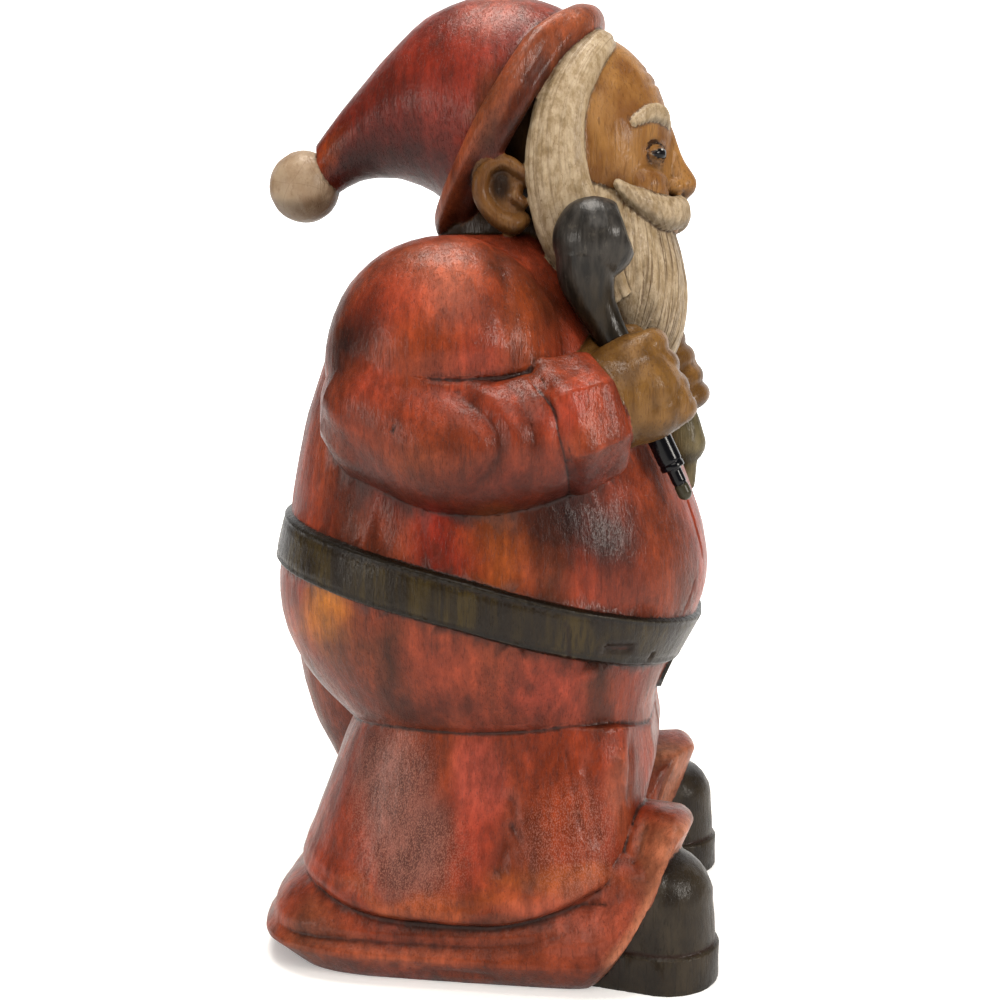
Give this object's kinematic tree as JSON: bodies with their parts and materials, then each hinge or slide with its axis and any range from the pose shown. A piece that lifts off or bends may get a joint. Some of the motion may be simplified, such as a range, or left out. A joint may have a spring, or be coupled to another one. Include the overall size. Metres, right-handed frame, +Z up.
{
  "type": "carved santa figure",
  "caption": "Standing hand-carved wooden Santa in a belted red coat and long pointed cap with a pom-pom, a pipe in the right fist and a sack over the left shoulder",
  "frame": {"origin": "middle of the flat underside, on the ground plane", "axes": "+Z up, the figure faces -Y, its own left side is +X"},
  "size_m": [0.1525, 0.1541, 0.3011],
  "materials": {
    "stained_wood": "hand-carved wood, stained red with cream hair and beard, ochre skin, olive-brown belt and shoes, waxed and worn",
    "dark_pipe": "dark stained wood, lightly polished, with a gloss black stem"
  },
  "bodies": {
    "root": {"santa_figure": "stained_wood", "pipe": "dark_pipe"}
  },
  "joints": []
}
